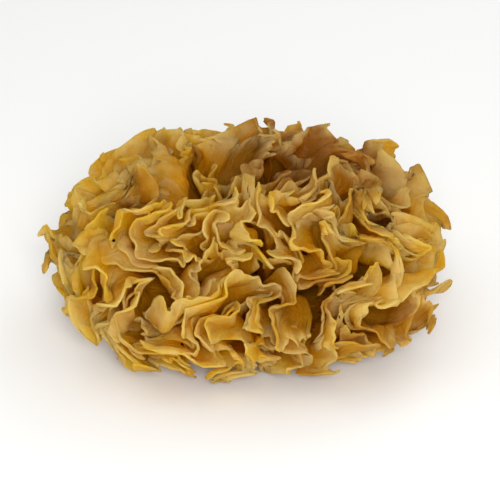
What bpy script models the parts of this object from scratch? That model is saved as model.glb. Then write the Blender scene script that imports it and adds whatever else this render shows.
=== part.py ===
"""One dried snow fungus head: a cut base and the ruffled fronds that fork from it.

Metres, +Z up. The origin is the middle of the cut face, and the head stands on that face.
"""

import math
from typing import NamedTuple

import bmesh
import bpy
import numpy as np

MM = 0.001

# The head as a whole: a low lumpy dome, widest a little above the surface that it stands on.
HEAD_WIDTH = 92.5 * MM
HEAD_DEPTH = 79.5 * MM
HEAD_TOP = 43 * MM
WIDEST_AT = 17 * MM
UNDERSIDE_DEPTH = 23 * MM  # from the widest level to the bottom of the full oval, below the cut
LUMPINESS = 0.05  # how far the dome swells and sinks, as a share of its reach

# All fronds point away from the heart, a point inside the base.
HEART = np.array([0.0, 0.0, 5.5 * MM])
ROOT_RADIUS = 8.2 * MM
MEAN_REACH = 40 * MM

# The base, a knob that was cut off the wood that it grew on. The fronds' roots stop just short of it.
KNOB_RADIUS = ROOT_RADIUS - 0.3 * MM
CUT_RADIUS = 9.8 * MM
FLARE_TOP = 3.6 * MM
FLARE_LUMPS = 0.04
KNOB_RINGS = 12
KNOB_SIDES = 20

# Whorls of fronds: name, how many, tilt above the horizon, turn of the first, share of the dome's
# reach, and how far the pleats of one frond may lean from those of the next.
WHORLS = (
    ("outer_frond", 8, math.radians(15), 0.0, 1.0, math.radians(20)),
    ("upper_frond", 5, math.radians(47), 0.3, 1.0, math.radians(60)),
    ("crown_frond", 2, math.radians(79), 0.8, 0.8, math.radians(60)),
)
TURN_JITTER = 0.13
TILT_JITTER = math.radians(4)
LOWEST_TILT = math.radians(-5)  # no frond points lower than this, before it meets the surface
SPACE_BETWEEN_FRONDS = 4.2 * MM

# A frond is one thin sheet, which is pleated to and fro until it fills its own share of the dome.
FROND_THICKNESS = 0.9 * MM
PLEAT_SPACING = 6.6 * MM
PLEAT_TURN = 1.5 * MM
PATH_POINTS = 600

# At its root the sheet is a narrow, nearly flat strip. Heights go from 0 at the root to 1 at the rim.
ROOT_WIDTH = 0.85  # of its width at the rim, both as seen from the heart
ROOT_PLEATS = 0.03
FULL_WIDTH_AT = 0.5
FULL_PLEATS_AT = 0.65

# The rim has notches between lobes, and rises and falls. Depths are shares of the dome's reach.
LOBE_LENGTH = 7.5 * MM
LOBE_NOTCH = 0.07
LOBE_DRIFT = 11 * MM
RIM_WAVE = 0.04
RIM_WAVE_LENGTH = 50 * MM

# The sheets curl. Each curl has a wavelength, a swing at the rim, and how many radians its wave turns
# in a metre of depth. Curls start where the first depth is passed and are full at the second.
CURLS = ((36 * MM, 4.0 * MM, 100.0), (16 * MM, 2.3 * MM, 120.0))
CURLS_START = 0.25
CURLS_FULL = 0.95

# Rims that would hang lower than the second height are bent along the surface, no lower than the first.
LOWEST_RIM = 0.9 * MM
SETTLED_BELOW = 4 * MM

# How finely the solids are faceted.
FACET_LENGTH = 3.8 * MM
FACET_ROWS = 4
ROW_CROWDING = 0.8  # below 1, the rows crowd towards the rim

# Colour and roughness.
DRIED_FROND = ((0.62, 0.36, 0.09, 1.0), 0.42)
CUT_BASE = ((0.35, 0.19, 0.06, 1.0), 0.7)


class Frond(NamedTuple):
    name: str
    way: np.ndarray  # the direction that it points in
    share: float  # of the dome's reach
    across: np.ndarray  # the pleats are laid side by side along this
    along: np.ndarray  # and each pleat runs along this


def unit(vectors):
    return vectors / np.linalg.norm(vectors, axis=-1, keepdims=True)


def ease(amount):
    """0 to 1 with a soft start and end."""
    amount = np.clip(amount, 0, 1)
    return amount * amount * (3 - 2 * amount)


def oval_reach(direction, half_height):
    """Distance from the heart to an oval of the head's width and depth."""
    size = np.array([HEAD_WIDTH / 2, HEAD_DEPTH / 2, half_height])
    start = (HEART - [0, 0, WIDEST_AT]) / size
    step = direction / size
    a = (step * step).sum(-1)
    b = (step * start).sum(-1)
    c = (start * start).sum() - 1
    return (-b + np.sqrt(b * b - a * c)) / a


def reach(direction):
    """Distance from the heart to the outside of the dome."""
    upper = oval_reach(direction, HEAD_TOP - WIDEST_AT)
    lower = oval_reach(direction, UNDERSIDE_DEPTH)
    above = HEART[2] + upper * direction[..., 2] > WIDEST_AT
    x, y, z = np.moveaxis(direction, -1, 0)
    swell = np.sin(4.1 * x + 1.2) * np.cos(3.3 * y + 0.4) + 0.6 * np.sin(6.3 * y - 3.7 * z)
    return np.where(above, upper, lower) * (1 + LUMPINESS * swell)


def all_fronds():
    """The fronds of every whorl, each with its own small differences."""
    luck = np.random.RandomState(5)
    fronds = []
    for name, count, tilt, first, share, lean in WHORLS:
        for i in range(count):
            turn = math.tau * (i + first) / count + luck.uniform(-TURN_JITTER, TURN_JITTER)
            rise = tilt + luck.uniform(-TILT_JITTER, TILT_JITTER)
            flat = math.cos(rise)
            way = np.array([flat * math.cos(turn), flat * math.sin(turn), math.sin(rise)])
            level = unit(np.cross(way, [0, 0, 1]))
            rising = np.cross(level, way)
            roll = math.pi / 2 + luck.uniform(-lean, lean)
            across = level * math.cos(roll) + rising * math.sin(roll)
            fronds.append(Frond(f"{name}_{i + 1}", way, share, across, np.cross(across, way)))
    return fronds


def clip(outline, normal, limit):
    """The part of a convex outline where normal . point is at most limit."""
    kept = []
    for here, there in zip(outline[-1:] + outline[:-1], outline):
        before, after = here @ normal - limit, there @ normal - limit
        if before * after < 0:
            kept.append(here + (there - here) * before / (before - after))
        if after <= 0:
            kept.append(there)
    return kept


def share_of_dome(frond, fronds):
    """The outline of all directions that are nearer to this frond's than to another's, less a margin.

    The directions are flattened onto the plane that the frond's way meets squarely.
    """
    lowest = np.array([frond.way[0], frond.way[1], 0]) / math.hypot(*frond.way[:2]) * math.sin(LOWEST_TILT)
    lowest[2] = -math.cos(LOWEST_TILT)
    borders = [other.way - frond.way for other in fronds if other is not frond] + [lowest]
    margin = SPACE_BETWEEN_FRONDS / 2 / MEAN_REACH
    outline = [np.array(corner) for corner in ((-1, -1), (1, -1), (1, 1), (-1, 1))]
    for border in borders:
        border = unit(border)
        flat = np.array([border @ frond.across, border @ frond.along])
        slope = np.linalg.norm(flat)
        outline = clip(outline, flat / slope, -(border @ frond.way) / slope - margin)
    return outline


def crossing(outline, x):
    """Where the line at x enters and leaves a convex outline."""
    found = []
    for here, there in zip(outline[-1:] + outline[:-1], outline):
        if (here[0] - x) * (there[0] - x) <= 0 and here[0] != there[0]:
            found.append(here[1] + (there[1] - here[1]) * (x - here[0]) / (there[0] - here[0]))
    return min(found), max(found)


def evenly(points):
    """The same path with its points evenly spaced, and its length."""
    steps = np.linalg.norm(np.diff(points, axis=0), axis=1)
    done = np.concatenate([[0], np.cumsum(steps)])
    even = np.linspace(0, done[-1], PATH_POINTS)
    return np.stack([np.interp(even, done, points[:, k]) for k in (0, 1)], -1), done[-1]


def rounded(points, spread):
    """The path with its corners rounded, by a bell-shaped running mean."""
    wide = int(3 * spread) + 1
    bell = np.exp(-0.5 * (np.arange(-wide, wide + 1) / spread) ** 2)
    start = 2 * points[0] - points[1 : wide + 1][::-1]
    end = 2 * points[-1] - points[-wide - 1 : -1][::-1]
    padded = np.concatenate([start, points, end])
    return np.stack([np.convolve(padded[:, k], bell / bell.sum(), "valid") for k in (0, 1)], -1)


def pleated_rim(outline):
    """A path that runs to and fro across the outline, and its length, both as seen from the heart."""
    xs = [corner[0] for corner in outline]
    low, wide = min(xs), max(xs) - min(xs)
    runs = max(2, round(wide * MEAN_REACH / PLEAT_SPACING))
    corners = []
    for run in range(runs):
        x = low + wide * (run + 0.5) / runs
        ends = [(x, y) for y in crossing(outline, x)]
        corners += ends if run % 2 == 0 else ends[::-1]
    path, length = evenly(np.array(corners))
    return evenly(rounded(path, PLEAT_TURN / MEAN_REACH * PATH_POINTS / length))


def curled(points):
    """Swings points round three crossed axes for each curl, by a wave along the axis.

    Each swing keeps a point's distance from the heart and its place along the axis, so no two
    sheets can meet, however far they swing.
    """
    luck = np.random.RandomState(11)
    for wavelength, swing, turn in CURLS:
        for axis in np.linalg.qr(luck.normal(size=(3, 3)))[0]:
            phase = luck.uniform(0, math.tau)
            depth = np.linalg.norm(points, axis=-1)
            place = points @ axis
            wave = np.sin((math.tau / wavelength * place + turn * depth) * MEAN_REACH + phase)
            angle = swing / MEAN_REACH * ease((depth - CURLS_START) / (CURLS_FULL - CURLS_START)) * wave
            sine, cosine = np.sin(angle)[..., None], np.cos(angle)[..., None]
            points = points * cosine + np.cross(axis, points) * sine + axis * place[..., None] * (1 - cosine)
    return points


def settled(points):
    """Bends the lowest rims up, so that they lie along the surface that the head stands on."""
    height = points[:, 2] + HEART[2]
    room = SETTLED_BELOW - LOWEST_RIM
    bent = LOWEST_RIM + room * np.exp(np.minimum(height - SETTLED_BELOW, 0) / room)
    points[:, 2] = np.where(height < SETTLED_BELOW, bent, height) - HEART[2]
    return points


def rim_reach(run, luck):
    """How far the rim comes out at each distance along it, as a share of the dome's reach."""
    lobe_start, wave_start = luck.uniform(0, math.tau, 2)
    lobes = np.abs(np.sin(math.pi * run / LOBE_LENGTH + np.sin(run / LOBE_DRIFT + lobe_start))) ** 0.7
    return 1 - LOBE_NOTCH * (1 - lobes) + RIM_WAVE * np.sin(math.tau * run / RIM_WAVE_LENGTH + wave_start)


def frond_points(frond, outline, path, length, flat, luck):
    """Bends points of the unit square, from root to rim, onto the frond's middle surface."""
    along_rim, height = flat[:, 0], flat[:, 1] ** ROW_CROWDING
    even = np.linspace(0, 1, PATH_POINTS)
    middle = np.mean(outline, axis=0)
    x, y = (np.interp(along_rim, even, path[:, k]) - middle[k] for k in (0, 1))
    x = middle[0] + x * (ROOT_WIDTH + (1 - ROOT_WIDTH) * ease(height / FULL_WIDTH_AT))
    y = middle[1] + y * (ROOT_PLEATS + (1 - ROOT_PLEATS) * ease(height / FULL_PLEATS_AT))
    direction = unit(frond.way + x[:, None] * frond.across + y[:, None] * frond.along)
    rim = frond.share * rim_reach(along_rim * length, luck)
    root = ROOT_RADIUS / reach(direction)
    ball = curled(direction * (root + (rim - root) * height)[:, None])
    return settled(ball * reach(unit(ball))[:, None])


def material(name, colour, roughness):
    made = bpy.data.materials.new(name)
    made.use_nodes = True
    shader = made.node_tree.nodes["Principled BSDF"]
    shader.inputs["Base Color"].default_value = colour
    shader.inputs["Roughness"].default_value = roughness
    made.diffuse_color = colour
    return made


def add_object(name, bm, finish, collection):
    mesh = bpy.data.meshes.new(name)
    bm.to_mesh(mesh)
    bm.free()
    mesh.materials.append(finish)
    mesh.shade_smooth()
    mesh.set_sharp_from_angle(angle=math.radians(40))
    made = bpy.data.objects.new(name, mesh)
    collection.objects.link(made)
    return made


def add_base(finish, collection):
    """The knob: a ball round the heart, which flares to the cut face and is cut off there."""
    bm = bmesh.new()
    bmesh.ops.create_uvsphere(bm, u_segments=KNOB_SIDES, v_segments=KNOB_RINGS, radius=KNOB_RADIUS)
    for vertex in bm.verts:
        vertex.co.z += HEART[2]
        if vertex.co.z < FLARE_TOP:
            down = min((FLARE_TOP - vertex.co.z) / FLARE_TOP, 1)
            around = math.atan2(vertex.co.y, vertex.co.x)
            widest = CUT_RADIUS * (1 + FLARE_LUMPS * math.sin(3 * around + 0.8))
            radius = KNOB_RADIUS + (widest - KNOB_RADIUS) * math.sin(down * math.pi / 2)
            vertex.co.xy = vertex.co.xy.normalized() * radius
    knob = bm.verts[:] + bm.edges[:] + bm.faces[:]
    cut = bmesh.ops.bisect_plane(bm, geom=knob, plane_co=(0, 0, 0), plane_no=(0, 0, 1), clear_inner=True)
    rim = [item for item in cut["geom_cut"] if isinstance(item, bmesh.types.BMEdge)]
    bmesh.ops.contextual_create(bm, geom=rim)
    bmesh.ops.recalc_face_normals(bm, faces=bm.faces)
    add_object("base", bm, finish, collection)


def add_frond(frond, fronds, luck, finish, collection):
    """A flat grid, bent onto the frond's middle surface round the heart and given its thickness."""
    outline = share_of_dome(frond, fronds)
    path, seen_length = pleated_rim(outline)
    length = seen_length * MEAN_REACH
    bm = bmesh.new()
    bmesh.ops.create_grid(bm, x_segments=round(length / FACET_LENGTH), y_segments=FACET_ROWS, size=0.5)
    flat = np.array([vertex.co[:2] for vertex in bm.verts]) + 0.5
    for vertex, point in zip(bm.verts, frond_points(frond, outline, path, length, flat, luck)):
        vertex.co = point
    made = add_object(frond.name, bm, finish, collection)
    made.location = HEART
    sheet = made.modifiers.new("thickness", "SOLIDIFY")
    sheet.thickness = FROND_THICKNESS
    sheet.offset = 0


def main():
    for old in list(bpy.data.objects):
        bpy.data.objects.remove(old)
    collection = bpy.data.collections.new("snow_fungus")
    bpy.context.scene.collection.children.link(collection)
    add_base(material("cut_base", *CUT_BASE), collection)
    finish = material("dried_frond", *DRIED_FROND)
    luck = np.random.RandomState(100)
    fronds = all_fronds()
    for frond in fronds:
        add_frond(frond, fronds, luck, finish, collection)


main()
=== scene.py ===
"""The looks of one dried snow fungus head: fine ruffled fronds on a cut base, over the part's own frame."""

import math
from collections import namedtuple

import bpy
import numpy as np
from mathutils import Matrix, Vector


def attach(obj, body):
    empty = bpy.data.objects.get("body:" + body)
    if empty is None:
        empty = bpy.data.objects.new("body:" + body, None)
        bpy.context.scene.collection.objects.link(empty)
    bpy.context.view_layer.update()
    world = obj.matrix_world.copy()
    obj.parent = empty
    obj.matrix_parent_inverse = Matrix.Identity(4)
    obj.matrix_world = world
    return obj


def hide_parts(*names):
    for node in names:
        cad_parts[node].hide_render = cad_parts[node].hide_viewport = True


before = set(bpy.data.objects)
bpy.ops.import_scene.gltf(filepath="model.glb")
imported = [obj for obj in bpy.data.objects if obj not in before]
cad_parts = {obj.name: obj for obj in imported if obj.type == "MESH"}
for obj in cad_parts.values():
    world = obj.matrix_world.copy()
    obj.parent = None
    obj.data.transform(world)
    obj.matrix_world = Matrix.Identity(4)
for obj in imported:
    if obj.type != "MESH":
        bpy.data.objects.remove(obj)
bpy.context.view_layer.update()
bpy.ops.object.select_all(action="DESELECT")

# The base. It is the knob that all the fronds grow out of, dried as hard as horn, with a wrinkled skin.
# It flared out where it met the wood that it grew on, and the knife that cut it off left a flat face.

MM = 0.001
HEART = np.array([0.0, 0.0, 5.5 * MM])  # the middle of the knob, from which all the fronds point away
KNOB_RADIUS = 7.9 * MM
CUT_RADIUS = 9.8 * MM
FLARE_TOP = 3.6 * MM
FLARE_LOBES = 3
FLARE_TURN = 0.8  # radians
FLARE_LUMPS = 0.04  # how far the lobes of the flare stand out, as a share of its radius

# The folds of the skin: how many broad and fine ones go round the knob, and how fast they wander on the
# way up. They fade out towards the knob's pole and towards the cut.
FOLD_DEPTH = 0.22 * MM
BROAD_FOLDS = 17
BROAD_WANDER = 1.9 * MM
BROAD_SWING = 2  # radians
FINE_FOLDS = 31
FINE_WANDER = 0.8 * MM
POLE_FADE = 4 * MM
CUT_FADE = 1.5 * MM
WRINKLE = 1.8 * MM


def linear(code):
    """A colour's sRGB hex code as linear red, green, blue and alpha."""
    channels = [int(code[k : k + 2], 16) / 255 for k in (0, 2, 4)]
    return [c / 12.92 if c <= 0.04045 else ((c + 0.055) / 1.055) ** 2.4 for c in channels] + [1.0]


def add_node(tree, kind, settings=(), inputs=(), stops=()):
    """Adds a node with its settings and its colour stops, if it has any.

    Each input is linked to the output given for it, or set to the value.
    """
    node = tree.nodes.new(kind)
    for key, value in dict(settings).items():
        setattr(node, key, value)
    for key, value in dict(inputs).items():
        if isinstance(value, bpy.types.NodeSocket):
            tree.links.new(value, node.inputs[key])
        else:
            node.inputs[key].default_value = value
    for k, (position, code) in enumerate(stops):
        stop = node.color_ramp.elements[k] if k < 2 else node.color_ramp.elements.new(position)
        stop.position = position
        stop.color = linear(code)
    return node


def dried_stalk():
    """Fungus stalk, dried as hard as horn. It looks matt, brown and wrinkled, and darker in its folds."""
    made = bpy.data.materials.new("dried_stalk")
    made.use_nodes = True
    tree = made.node_tree
    shader = tree.nodes["Principled BSDF"]
    place = add_node(tree, "ShaderNodeTexCoord").outputs["Object"]
    folds = add_node(
        tree,
        "ShaderNodeTexNoise",
        inputs={"Vector": place, "Scale": 1 / WRINKLE, "Detail": 4.0, "Roughness": 0.6, "Distortion": 0.6},
    ).outputs["Fac"]
    browns = ((0.3, "4a2a0c"), (0.52, "7d5118"), (0.7, "a87a34"))
    colour = add_node(tree, "ShaderNodeValToRGB", inputs={"Fac": folds}, stops=browns).outputs["Color"]
    tree.links.new(colour, shader.inputs["Base Color"])
    bump = add_node(tree, "ShaderNodeBump", inputs={"Height": folds, "Strength": 0.6, "Distance": 0.3 * MM})
    tree.links.new(bump.outputs["Normal"], shader.inputs["Normal"])
    shader.inputs["Roughness"].default_value = 0.62
    shader.inputs["IOR"].default_value = 1.5
    return made


bpy.ops.mesh.primitive_uv_sphere_add(segments=144, ring_count=90, radius=KNOB_RADIUS, location=HEART)
knob = bpy.context.object
knob.name = "fine_base"
bpy.ops.object.transform_apply()
bpy.ops.object.mode_set(mode="EDIT")
bpy.ops.mesh.bisect(plane_co=(0, 0, 0), plane_no=(0, 0, 1), use_fill=True, clear_inner=True)
bpy.ops.object.mode_set(mode="OBJECT")
for vertex in knob.data.vertices:
    x, y, z = vertex.co
    around = math.atan2(y, x)
    level = math.hypot(x, y)
    if z < FLARE_TOP:
        widest = CUT_RADIUS * (1 + FLARE_LUMPS * math.sin(FLARE_LOBES * around + FLARE_TURN))
        level = KNOB_RADIUS + (widest - KNOB_RADIUS) * math.sin((1 - z / FLARE_TOP) * math.pi / 2)
    folds = math.sin(BROAD_FOLDS * around + BROAD_SWING * math.sin(z / BROAD_WANDER))
    folds += math.sin(FINE_FOLDS * around - z / FINE_WANDER)
    level += FOLD_DEPTH / 2 * folds * min(1, level / POLE_FADE) * min(1, z / CUT_FADE)
    vertex.co = (level * math.cos(around), level * math.sin(around), z)
bpy.ops.object.shade_smooth_by_angle(angle=math.radians(40))
knob.data.materials.append(dried_stalk())
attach(knob, "root")
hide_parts("base")
bpy.ops.object.select_all(action="DESELECT")

# The outer fronds. Each is a sheet of jelly, dried to under half a millimetre, that grew out of the knob.
# It had more rim than room, so it lies in deep pleats and breaks up near the rim into cupped petals with
# curled, paler lips. Shorter petals fork off inside it and close its hollows. Eight spread out low.

HEAD_WIDTH = 92.5 * MM
HEAD_DEPTH = 79.5 * MM
HEAD_TOP = 43 * MM
WIDEST_AT = 17 * MM
UNDERSIDE_DEPTH = 23 * MM
LUMPINESS = 0.05
MEAN_REACH = 40 * MM  # from the heart to the outside, which turns lengths into shares and back
ROOT_RADIUS = 7.2 * MM  # inside the knob's skin, so that the sheets grow out of it

# Whorls: name, how many, tilt, turn of the first, share of the dome's reach, how far the pleats may lean.
WHORLS = (
    ("outer_frond", 8, math.radians(15), 0.0, 1.0, math.radians(20)),
    ("upper_frond", 5, math.radians(47), 0.3, 1.0, math.radians(60)),
    ("crown_frond", 2, math.radians(79), 0.8, 0.8, math.radians(60)),
)
WHORL_SEED = 5
TURN_JITTER = 0.13
TILT_JITTER = math.radians(4)
LOWEST_TILT = math.radians(-5)
SPACE_BETWEEN_FRONDS = 0.8 * MM

# The sheets. Heights go from 0 at the knob to 1 at the rim, and depths are shares of the dome's reach.
PLEAT_SPACING = 7.8 * MM
ROOT_PLEATS = 0.7  # how long the pleats are at the knob, as a share of their full length
FULL_PLEATS_AT = 0.35
PETAL_TURN = 2.6 * MM
PETAL_OVERLAP = 0.06  # how far a petal reaches into the next pleat, as a share of its spacing
PETAL_DROP = 0.07  # how much lower a petal's sides stand than its middle
PATH_POINTS = 1200

# The rim. It is lobed, with small frills along its lip, and both drift so that they never come evenly.
# Broad waves raise and lower it, and it is rounded off at the sheet's two ends.
RIM_SEED = 100
LOBE_LENGTH = 10 * MM
LOBE_NOTCH = 0.04
LOBE_DRIFT = 11 * MM
DRIFT_SWING = 2  # radians
RIM_WAVE = 0.04
RIM_WAVE_LENGTH = 50 * MM
FRILL_LENGTH = 3.3 * MM
FRILL_FADE = 17 * MM
FRILL_SWELL = 0.4
FRILLED_FROM = 0.9
SHORT_END = 0.93
ROUNDED_END = 3 * MM

# Curls: wavelength, swing at the rim, how many radians the wave turns in a metre of depth, and the depth
# that it starts at. From the first to the last they lean the fronds, bend the petals, roll their lips and
# wrinkle them.
CURLS = (
    (36 * MM, 4.0 * MM, 100.0, 0.25),
    (16 * MM, 2.0 * MM, 120.0, 0.25),
    (20 * MM, 4.2 * MM, 50.0, 0.75),
    (10 * MM, 1.4 * MM, 200.0, 0.5),
    (4 * MM, 0.3 * MM, 600.0, 0.5),
    (2.6 * MM, 0.16 * MM, 900.0, 0.6),
)
CURL_SEED = 20
LOWEST_RIM = 0.45 * MM
SETTLED_BELOW = 4 * MM

# The mesh of a sheet: columns this far apart, and rows that crowd towards the rim. The inner petals have
# fewer rows, because they start halfway up, and they end a little inside the frond's own rim.
FROND_THICKNESS = 0.45 * MM
COLUMN_SPACING = 0.42 * MM
ROWS = 28
ROW_CROWDING = 0.5
INNER_ROWS = 12
INNER_START = 0.5
INNER_SHARE = 0.93

# How the petals of a sheet are made: how far apart they turn, the height that they open from, how late
# they open, and how far their lips are frilled.
Petals = namedtuple("Petals", "spacing start flare frill")
OUTER_PETALS = Petals(7.6 * MM, 0.7, 1.0, 0.85 * MM)
INNER_PETALS = Petals(7.6 * MM, 0.6, 1.0, 0.85 * MM)

# A frond: its number and name, its way out from the heart, its share of the dome's reach, and the
# directions across and along its pleats.
Frond = namedtuple("Frond", "number name way share across along")


def unit(vectors):
    return vectors / np.linalg.norm(vectors, axis=-1, keepdims=True)


def ease(amount):
    """0 to 1 with a soft start and end."""
    amount = np.clip(amount, 0, 1)
    return amount * amount * (3 - 2 * amount)


def oval_reach(direction, half_height):
    """Distance from the heart to an oval of the head's width and depth."""
    size = np.array([HEAD_WIDTH / 2, HEAD_DEPTH / 2, half_height])
    start = (HEART - [0, 0, WIDEST_AT]) / size
    step = direction / size
    a = (step * step).sum(-1)
    b = (step * start).sum(-1)
    c = (start * start).sum() - 1
    return (-b + np.sqrt(b * b - a * c)) / a


def reach(direction):
    """Distance from the heart to the outside of the dome, whose lumps are waves of unlike lengths."""
    upper = oval_reach(direction, HEAD_TOP - WIDEST_AT)
    lower = oval_reach(direction, UNDERSIDE_DEPTH)
    above = HEART[2] + upper * direction[..., 2] > WIDEST_AT
    x, y, z = np.moveaxis(direction, -1, 0)
    swell = np.sin(4.1 * x + 1.2) * np.cos(3.3 * y + 0.4) + 0.6 * np.sin(6.3 * y - 3.7 * z)
    return np.where(above, upper, lower) * (1 + LUMPINESS * swell)


def all_fronds():
    luck = np.random.RandomState(WHORL_SEED)
    fronds = []
    for name, count, tilt, first, share, lean in WHORLS:
        for i in range(count):
            turn = math.tau * (i + first) / count + luck.uniform(-TURN_JITTER, TURN_JITTER)
            rise = tilt + luck.uniform(-TILT_JITTER, TILT_JITTER)
            flat = math.cos(rise)
            way = np.array([flat * math.cos(turn), flat * math.sin(turn), math.sin(rise)])
            level = unit(np.cross(way, [0, 0, 1]))
            rising = np.cross(level, way)
            roll = math.pi / 2 + luck.uniform(-lean, lean)
            across = level * math.cos(roll) + rising * math.sin(roll)
            along = np.cross(across, way)
            fronds.append(Frond(len(fronds), f"{name}_{i + 1}", way, share, across, along))
    return fronds


def clip(outline, normal, limit):
    """The part of a convex outline where normal . point is at most limit."""
    kept = []
    for here, there in zip(outline[-1:] + outline[:-1], outline):
        before, after = here @ normal - limit, there @ normal - limit
        if before * after < 0:
            kept.append(here + (there - here) * before / (before - after))
        if after <= 0:
            kept.append(there)
    return kept


def share_of_dome(frond):
    """The outline of all directions that are nearer to this frond's way than to another's, less a margin."""
    way = frond.way
    lowest = np.array([way[0], way[1], 0]) / math.hypot(*way[:2]) * math.sin(LOWEST_TILT)
    lowest[2] = -math.cos(LOWEST_TILT)
    borders = [other.way - way for other in fronds if other.number != frond.number] + [lowest]
    margin = SPACE_BETWEEN_FRONDS / 2 / MEAN_REACH
    outline = [np.array(corner) for corner in ((-1, -1), (1, -1), (1, 1), (-1, 1))]
    for border in borders:
        border = unit(border)
        flat = np.array([border @ frond.across, border @ frond.along])
        slope = np.linalg.norm(flat)
        outline = clip(outline, flat / slope, -(border @ way) / slope - margin)
    return outline


def crossing(outline, x):
    """Where the line at x enters and leaves a convex outline."""
    found = []
    for here, there in zip(outline[-1:] + outline[:-1], outline):
        if (here[0] - x) * (there[0] - x) <= 0 and here[0] != there[0]:
            found.append(here[1] + (there[1] - here[1]) * (x - here[0]) / (there[0] - here[0]))
    return min(found), max(found)


def evenly(points):
    """The same path with its points evenly spaced, and its length."""
    steps = np.linalg.norm(np.diff(points[:, :2], axis=0), axis=1)
    done = np.concatenate([[0], np.cumsum(steps)])
    even = np.linspace(0, done[-1], PATH_POINTS)
    return np.stack([np.interp(even, done, points[:, k]) for k in range(3)], -1), done[-1]


def rounded(points, spread):
    """The path with its corners rounded, by a bell-shaped running mean."""
    wide = int(3 * spread) + 1
    bell = np.exp(-0.5 * (np.arange(-wide, wide + 1) / spread) ** 2)
    start = 2 * points[0] - points[1 : wide + 1][::-1]
    end = 2 * points[-1] - points[-wide - 1 : -1][::-1]
    padded = np.concatenate([start, points, end])
    return np.stack([np.convolve(padded[:, k], bell / bell.sum(), "valid") for k in range(3)], -1)


def petalled_rim(outline, spacing):
    """The rim's path, which winds from side to side of each pleat in turn, and the path's length.

    Each point is its place across and along the pleats, and the middle of its pleat.
    """
    turned = [corner[::-1] for corner in outline]
    xs = [corner[0] for corner in outline]
    low, wide = min(xs), max(xs) - min(xs)
    pleats = max(2, round(wide * MEAN_REACH / PLEAT_SPACING))
    half = wide / pleats / 2 + PETAL_OVERLAP * spacing / MEAN_REACH
    corners = []
    for pleat in range(pleats):
        middle = low + wide * (pleat + 0.5) / pleats
        bottom, top = crossing(outline, middle)
        # An odd number of runs ends beside the next pleat.
        runs = 2 * round(((top - bottom) * MEAN_REACH / spacing - 1) / 2) + 1
        ys = bottom + (top - bottom) * (np.arange(runs) + 0.5) / runs
        for run, y in enumerate(ys if pleat % 2 == 0 else ys[::-1]):
            left, right = crossing(turned, y)
            ends = [(max(middle - half, left), y, middle), (min(middle + half, right), y, middle)]
            corners += ends if run % 2 == 0 else ends[::-1]
    path, length = evenly(np.array(corners))
    return evenly(rounded(path, PETAL_TURN / MEAN_REACH * PATH_POINTS / length))


def curled(points):
    """Swings points round three crossed axes for each curl, more and more towards the rim."""
    luck = np.random.RandomState(CURL_SEED)
    for wavelength, swing, turn, start in CURLS:
        for axis in np.linalg.qr(luck.normal(size=(3, 3)))[0]:
            phase = luck.uniform(0, math.tau)
            depth = np.linalg.norm(points, axis=-1)
            place = points @ axis
            wave = np.sin((math.tau / wavelength * place + turn * depth) * MEAN_REACH + phase)
            angle = swing / MEAN_REACH * ease((depth - start) / (1 - start)) * wave
            sine, cosine = np.sin(angle)[..., None], np.cos(angle)[..., None]
            points = points * cosine + np.cross(axis, points) * sine + axis * place[..., None] * (1 - cosine)
    return points


def settled(points):
    """Bends the lowest rims up, so that they lie along the surface that the head stands on."""
    height = points[:, 2] + HEART[2]
    room = SETTLED_BELOW - LOWEST_RIM
    bent = LOWEST_RIM + room * np.exp(np.minimum(height - SETTLED_BELOW, 0) / room)
    points[:, 2] = np.where(height < SETTLED_BELOW, bent, height) - HEART[2]
    return points


def rim_reach(run, aside, luck):
    """How far the rim comes out at each distance along it, as a share of the dome's reach."""
    lobe_start, wave_start = luck.uniform(0, math.tau, 2)
    lobes = np.sin(math.tau * run / LOBE_LENGTH + DRIFT_SWING * np.sin(run / LOBE_DRIFT + lobe_start))
    wave = RIM_WAVE * np.sin(math.tau * run / RIM_WAVE_LENGTH + wave_start)
    from_end = np.minimum(run, run.max() - run)
    short = SHORT_END + (1 - SHORT_END) * ease(from_end / ROUNDED_END)
    return (1 - PETAL_DROP * aside**2 + LOBE_NOTCH * lobes + wave) * short


def sheet_points(along_rim, height, path, length, middle, frond, petals):
    """The points of a sheet's middle surface at these shares of its rim and heights.

    With them comes each point's place on the sheet: millimetres along the rim, millimetres up, and height.
    """
    run = along_rim * length
    even = np.linspace(0, 1, PATH_POINTS)
    x, y, pleat = (np.interp(along_rim, even, path[:, k]) for k in range(3))
    slopes = [np.gradient(path[:, k], length / MEAN_REACH / PATH_POINTS) for k in (0, 1)]
    slope_x, slope_y = (np.interp(along_rim, even, slope) for slope in slopes)
    aside = np.abs(x - pleat) / np.abs(x - pleat).max()
    x = pleat + (x - pleat) * np.clip((height - petals.start) / (1 - petals.start), 0, 1) ** petals.flare
    ripple = np.sin(math.tau * run / FRILL_LENGTH + DRIFT_SWING * np.sin(run / LOBE_DRIFT))
    ripple *= petals.frill / MEAN_REACH * (1 - FRILL_SWELL + FRILL_SWELL * np.sin(run / FRILL_FADE))
    ripple *= ease((height - FRILLED_FROM) / (1 - FRILLED_FROM))
    x, y = x - slope_y * ripple, y + slope_x * ripple
    y = middle + (y - middle) * (ROOT_PLEATS + (1 - ROOT_PLEATS) * ease(height / FULL_PLEATS_AT))
    direction = unit(frond.way + x[:, None] * frond.across + y[:, None] * frond.along)
    rim = frond.share * rim_reach(run, aside, np.random.RandomState(RIM_SEED + frond.number))
    root = ROOT_RADIUS / reach(direction)
    ball = curled(direction * (root + (rim - root) * height)[:, None])
    points = HEART + settled(ball * reach(unit(ball))[:, None])
    return points, np.stack([run / MM, height * MEAN_REACH / MM, height], -1)


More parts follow.
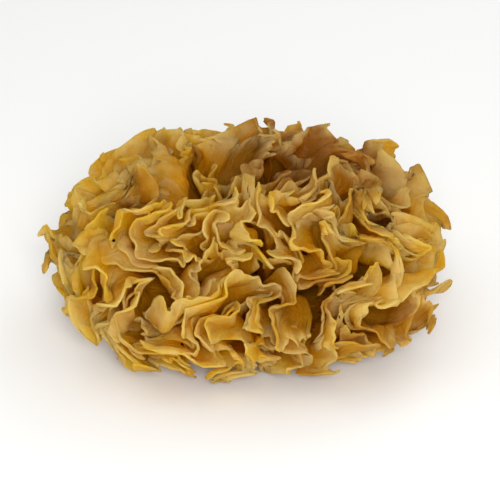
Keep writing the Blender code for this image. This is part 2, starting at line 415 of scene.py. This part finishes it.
def add_sheet(frond, petals, inner):
    """Grows one sheet of a frond from a flat grid. An inner one is short, and crosses the frond's pleats."""
    rows, start, crowding = ROWS, 0, ROW_CROWDING
    if inner:
        rows, start, crowding = INNER_ROWS, INNER_START, 1
        frond = frond._replace(share=frond.share * INNER_SHARE, across=frond.along, along=frond.across)
    outline = share_of_dome(frond)
    path, seen_length = petalled_rim(outline, petals.spacing)
    length = seen_length * MEAN_REACH
    middle = np.mean(outline, axis=0)[1]
    columns = round(length / COLUMN_SPACING)
    bpy.ops.mesh.primitive_grid_add(x_subdivisions=columns, y_subdivisions=rows, size=1)
    sheet = bpy.context.object
    flat = np.empty(len(sheet.data.vertices) * 3)
    sheet.data.vertices.foreach_get("co", flat)
    along_rim, height, _ = flat.reshape(-1, 3).T + 0.5
    height = start + (1 - start) * height**crowding
    points, on_sheet = sheet_points(along_rim, height, path, length, middle, frond, petals)
    sheet.data.vertices.foreach_set("co", points.ravel())
    where = sheet.data.attributes.new("on_sheet", "FLOAT_VECTOR", "POINT")
    where.data.foreach_set("vector", on_sheet.ravel())
    sheet.data.update()
    wall = sheet.modifiers.new("thickness", "SOLIDIFY")
    wall.thickness = FROND_THICKNESS
    wall.offset = 0
    bpy.ops.object.modifier_apply(modifier=wall.name)
    bpy.ops.object.shade_smooth()
    bpy.ops.object.select_all(action="DESELECT")
    return sheet


def add_fronds(whorl, jelly, petals, inner_petals=None):
    """Makes the fronds of one whorl, each with its inner petals if it has any, and dresses their nodes."""
    for frond in fronds:
        if not frond.name.startswith(whorl):
            continue
        sheets = [add_sheet(frond, petals, False)]
        if inner_petals:
            sheets.append(add_sheet(frond, inner_petals, True))
        for sheet in sheets:
            sheet.select_set(True)
        grown = sheets[0]
        bpy.context.view_layer.objects.active = grown
        bpy.ops.object.join()
        grown.name = f"fine_{frond.name}"
        grown.data.materials.append(jelly)
        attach(grown, "root")
        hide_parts(frond.name)
        bpy.ops.object.select_all(action="DESELECT")


# The jelly's patterns. Its veins run from the knob to the rim, six times as long as they are wide. Its
# lips are paler, and it is browner in random patches. Right of the middle of the top it is browner and
# darker still: partly its own browning, partly painted shade.
BLOTCH_SIZE = 9 * MM
MOTTLE_SIZE = 1.6 * MM
VEIN_WIDTH = 10 * MM / 11
VEIN_SQUEEZE = 0.16
LIP_FROM = 0.86
BROWN_PATCH_SIZE = 26 * MM
BROWN_AND_SHADE_AT = (15 * MM, 8 * MM, 38 * MM)
FULL_BROWN_AND_SHADE_OUT_TO = 7.2 * MM
BROWN_AND_SHADE_FADED_AT = 36 * MM
SPECK_RADIUS = 0.456 * MM
SPECK_SPACING = 12 * MM

# Its tones, in the light that it sends back and in the light that it lets through: from deep down to the
# rim, at the lips, and where it browned and lies in painted shade.
# Deep down the tones are the jelly's own amber, but lighter than the tones above them: painted light that
# lifts the shade of the hollows.
SENT_BACK = (
    ((0.0, "f2bc26"), (0.6, "eab018"), (0.78, "deaa18"), (0.9, "dcb226"), (1.0, "e2c64a")),
    "f0da98",
    "a46612",
)
LET_THROUGH = (
    ((0.0, "f8d02c"), (0.75, "f4c81c"), (0.9, "f6d432"), (1.0, "f6dc58")),
    "f6e49c",
    "ca8416",
)
SPECK_TONE = "2e1c0c"
SHARE_THROUGH = 0.75


def dried_jelly():
    """Fungus jelly, dried in air to a thin, hard, waxy sheet.

    Light glows through it, amber deep down and pale at the lips, and its wrinkles catch a soft shine.
    """
    made = bpy.data.materials.new("dried_jelly")
    made.use_nodes = True
    tree = made.node_tree
    shader = tree.nodes["Principled BSDF"]
    on_sheet = add_node(tree, "ShaderNodeAttribute", {"attribute_name": "on_sheet"}).outputs["Vector"]
    place = add_node(tree, "ShaderNodeTexCoord").outputs["Object"]
    height = add_node(tree, "ShaderNodeSeparateXYZ", inputs={0: on_sheet}).outputs["Z"]

    # The patterns: broad blotches, a fine mottle, and veins, which lie in the millimetres of on_sheet.
    blotches = add_node(
        tree,
        "ShaderNodeTexNoise",
        inputs={"Vector": place, "Scale": 1 / BLOTCH_SIZE, "Detail": 3.0, "Roughness": 0.6},
    ).outputs["Fac"]
    mottle = add_node(
        tree,
        "ShaderNodeTexNoise",
        inputs={"Vector": place, "Scale": 1 / MOTTLE_SIZE, "Detail": 2.0, "Roughness": 0.6},
    ).outputs["Fac"]
    veins_at = add_node(
        tree, "ShaderNodeMapping", inputs={"Vector": on_sheet, "Scale": (1.0, VEIN_SQUEEZE, 0.0)}
    ).outputs["Vector"]
    veins = add_node(
        tree,
        "ShaderNodeTexNoise",
        inputs={"Vector": veins_at, "Scale": MM / VEIN_WIDTH, "Detail": 3.0, "Roughness": 0.55},
    ).outputs["Fac"]

    # How pale the jelly is: it grows paler towards the rim, and the patterns shift that up and down.
    patterns = ((blotches, 0.3), (mottle, 0.3), (veins, 0.36))
    mean_shift = sum(weight for _, weight in patterns) / 2
    paleness = add_node(
        tree, "ShaderNodeMath", {"operation": "SUBTRACT"}, {0: height, 1: mean_shift}
    ).outputs[0]
    for pattern, weight in patterns:
        paleness = add_node(
            tree, "ShaderNodeMath", {"operation": "MULTIPLY_ADD"}, {0: pattern, 1: weight, 2: paleness}
        ).outputs[0]

    # The lips, paler in some blotches than in others.
    lip = add_node(
        tree,
        "ShaderNodeMapRange",
        {"interpolation_type": "SMOOTHSTEP"},
        {"Value": height, "From Min": LIP_FROM, "From Max": 1.0, "To Min": 0.0, "To Max": 1.0},
    ).outputs[0]
    uneven = add_node(
        tree,
        "ShaderNodeMapRange",
        inputs={"Value": blotches, "From Min": 0.42, "From Max": 0.58, "To Min": 0.15, "To Max": 0.9},
    ).outputs[0]
    lip = add_node(tree, "ShaderNodeMath", {"operation": "MULTIPLY"}, {0: lip, 1: uneven}).outputs[0]

    # Browned patches, which run together in the hollow of the top. There, right of the middle, they deepen
    # into a spot that is partly browning and partly painted shade.
    patches = add_node(
        tree,
        "ShaderNodeTexNoise",
        inputs={"Vector": place, "Scale": 1 / BROWN_PATCH_SIZE, "Detail": 2.0},
    ).outputs["Fac"]
    browning_and_shade = add_node(
        tree,
        "ShaderNodeMapRange",
        {"interpolation_type": "SMOOTHSTEP"},
        {"Value": patches, "From Min": 0.5, "From Max": 0.72, "To Min": 0.0, "To Max": 0.55},
    ).outputs[0]
    # Painted shade mixed with browning: strongest near a point on the top, fading out into the random
    # patches.
    from_brown_and_shade = add_node(
        tree, "ShaderNodeVectorMath", {"operation": "DISTANCE"}, {0: place, 1: BROWN_AND_SHADE_AT}
    ).outputs["Value"]
    browning_and_shade = add_node(
        tree,
        "ShaderNodeMapRange",
        {"interpolation_type": "SMOOTHSTEP"},
        {
            "Value": from_brown_and_shade,
            "From Min": FULL_BROWN_AND_SHADE_OUT_TO,
            "From Max": BROWN_AND_SHADE_FADED_AT,
            "To Min": 0.85,
            "To Max": browning_and_shade,
        },
    ).outputs[0]

    # A few dark specks of dust and bark, in some of the cells of a random pattern.
    cells = add_node(
        tree, "ShaderNodeTexVoronoi", inputs={"Vector": place, "Scale": 1 / SPECK_SPACING}
    ).outputs
    near = add_node(
        tree,
        "ShaderNodeMath",
        {"operation": "LESS_THAN"},
        {0: cells["Distance"], 1: SPECK_RADIUS / SPECK_SPACING},
    ).outputs[0]
    drawn = add_node(tree, "ShaderNodeSeparateXYZ", inputs={0: cells["Color"]}).outputs["X"]
    chosen = add_node(tree, "ShaderNodeMath", {"operation": "GREATER_THAN"}, {0: drawn, 1: 0.4}).outputs[0]
    speck = add_node(tree, "ShaderNodeMath", {"operation": "MULTIPLY"}, {0: near, 1: chosen}).outputs[0]

    # Inputs 6 and 7 of a Mix node are its two colours, and output 2 is their mix.
    tones = []
    for by_paleness, lip_tone, brown_and_shade_tone in (SENT_BACK, LET_THROUGH):
        tone = add_node(
            tree, "ShaderNodeValToRGB", inputs={"Fac": paleness}, stops=by_paleness
        ).outputs["Color"]
        for amount, code in ((browning_and_shade, brown_and_shade_tone), (lip, lip_tone), (speck, SPECK_TONE)):
            tone = add_node(
                tree, "ShaderNodeMix", {"data_type": "RGBA"}, {0: amount, 6: tone, 7: linear(code)}
            ).outputs[2]
        tones.append(tone)
    surface, glow = tones

    wrinkled = add_node(
        tree, "ShaderNodeBump", inputs={"Height": veins, "Strength": 1.0, "Distance": 0.7 * MM}
    ).outputs["Normal"]
    grained = add_node(
        tree,
        "ShaderNodeBump",
        inputs={"Height": mottle, "Strength": 0.7, "Distance": 0.5 * MM, "Normal": wrinkled},
    ).outputs["Normal"]
    tree.links.new(surface, shader.inputs["Base Color"])
    tree.links.new(grained, shader.inputs["Normal"])
    shader.inputs["Roughness"].default_value = 0.35
    shader.inputs["IOR"].default_value = 1.45
    shader.inputs["Specular IOR Level"].default_value = 0.3
    through = add_node(tree, "ShaderNodeBsdfTranslucent", inputs={"Color": glow, "Normal": grained})
    both = add_node(
        tree,
        "ShaderNodeMixShader",
        inputs={0: SHARE_THROUGH, 1: shader.outputs[0], 2: through.outputs[0]},
    )
    tree.links.new(both.outputs[0], tree.nodes["Material Output"].inputs["Surface"])
    return made


fronds = all_fronds()
jelly = dried_jelly()
add_fronds("outer_frond", jelly, OUTER_PETALS, INNER_PETALS)

# The upper fronds. These five sheets of the same jelly grew out of the knob above the outer ones, and make
# the head's shoulders. Their petals are broader and open from lower down, because they had more room.

UPPER_PETALS = Petals(7.8 * MM, 0.5, 1.2, 0.85 * MM)
add_fronds("upper_frond", jelly, UPPER_PETALS, INNER_PETALS)

# The crown fronds. These two short sheets of the jelly stand upright on the knob, in the hollow of the top.
# They fold all the way down, and no petals fork off inside them.

CROWN_PETALS = Petals(6.8 * MM, 0.0, 0.7, 0.5 * MM)
add_fronds("crown_frond", jelly, CROWN_PETALS)

# The floor, the lamps and the camera. The floor is matt white paper, wide enough to fill the picture. Soft
# lamps stand above, behind and in front, and the camera looks down as steeply as in the photograph.

FLOOR_WIDTH = 4
DAYLIGHT = 0.67
MIDDLE = Vector((0, 0, 0.018))  # of the head, which the lamps and the camera are turned to
LAMPS = (  # name, place, width and watts
    ("key_light", (-0.25, -0.15, 0.6), 0.5, 0.4),
    ("back_light", (0.3, 0.45, 0.45), 0.4, 0.8),
    ("fill_light", (0.04, -0.55, 0.30), 0.2, 2.8),
)
CAMERA_ELEVATION = math.radians(28)
CAMERA_DISTANCE = 0.45
CAMERA_LENS = 145

bpy.ops.mesh.primitive_plane_add(size=FLOOR_WIDTH)
floor = bpy.context.object
floor.name = "floor"
paper = bpy.data.materials.new("white_paper")
paper.use_nodes = True
paper.node_tree.nodes["Principled BSDF"].inputs["Base Color"].default_value = linear("f4f4f2")
paper.node_tree.nodes["Principled BSDF"].inputs["Roughness"].default_value = 0.9
floor.data.materials.append(paper)

world = bpy.data.worlds.new("studio")
world.use_nodes = True
world.node_tree.nodes["Background"].inputs["Color"].default_value = (1, 1, 1, 1)
world.node_tree.nodes["Background"].inputs["Strength"].default_value = DAYLIGHT
bpy.context.scene.world = world

for name, place, width, power in LAMPS:
    bpy.ops.object.light_add(type="AREA", location=place)
    lamp = bpy.context.object
    lamp.name = name
    lamp.data.size = width
    lamp.data.energy = power
    lamp.rotation_euler = (MIDDLE - lamp.location).to_track_quat("-Z", "Y").to_euler()

away = Vector((0, -math.cos(CAMERA_ELEVATION), math.sin(CAMERA_ELEVATION)))
bpy.ops.object.camera_add(location=MIDDLE + away * CAMERA_DISTANCE)
camera = bpy.context.object
camera.rotation_euler = (-away).to_track_quat("-Z", "Y").to_euler()
camera.data.lens = CAMERA_LENS
bpy.context.scene.camera = camera
bpy.context.scene.view_settings.view_transform = "Standard"
